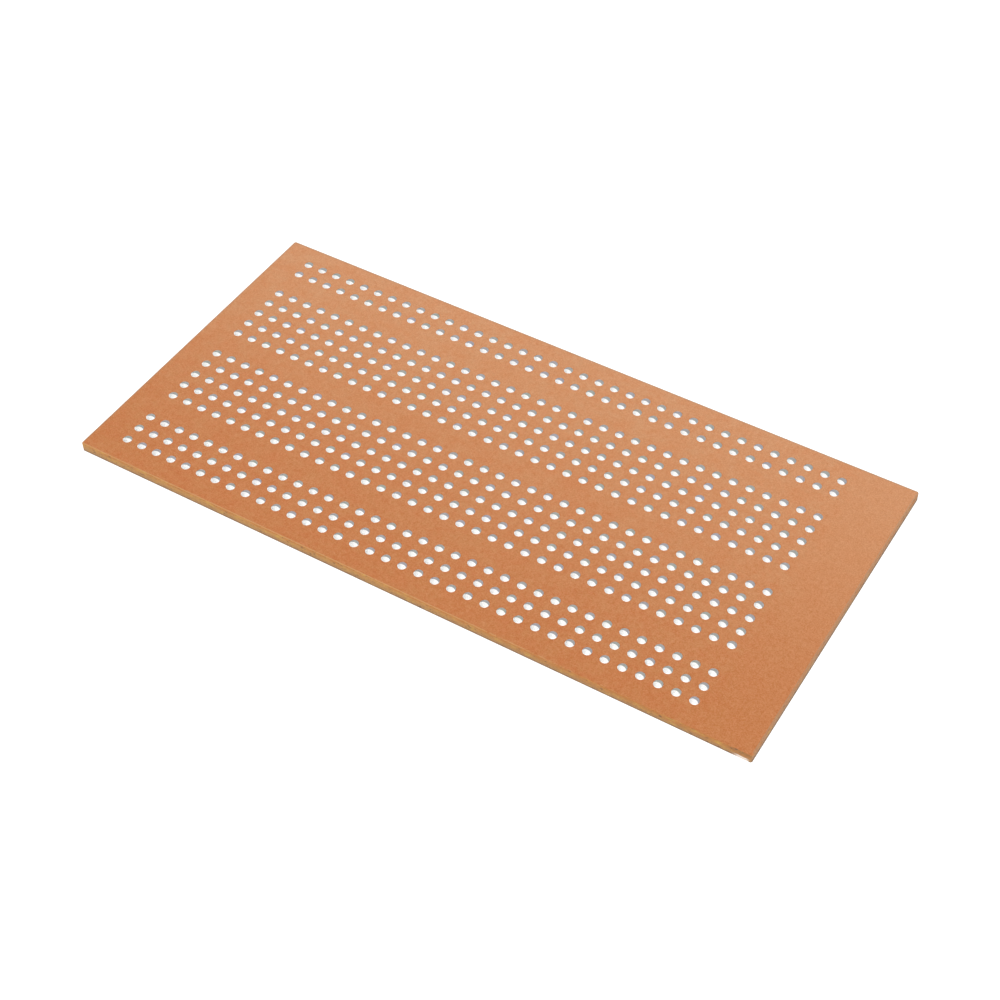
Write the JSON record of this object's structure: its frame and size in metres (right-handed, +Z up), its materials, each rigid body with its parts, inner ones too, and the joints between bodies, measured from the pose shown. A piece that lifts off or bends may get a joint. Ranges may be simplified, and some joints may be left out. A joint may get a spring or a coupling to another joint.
{
  "type": "prototype board",
  "caption": "Single-sided phenolic-paper prototype board: rows of lead holes in bands along its length, and bare copper strips underneath that join the holes of each column.",
  "frame": {"origin": "middle of the board's outline, on the plane of the copper strips' lower faces, which the board lies on", "axes": "+X along the long side towards the wider bare margin, +Y across the board from the group of three rows to the group of two, +Z up out of the component side"},
  "size_m": [0.1038, 0.0506, 0.0014],
  "materials": {
    "phenolic_paper": "satin",
    "bare_copper": "satin"
  },
  "bodies": {
    "root": {"drilled_sheet": "phenolic_paper", "near_strips": "bare_copper", "middle_strips": "bare_copper", "far_strips": "bare_copper"}
  },
  "joints": []
}
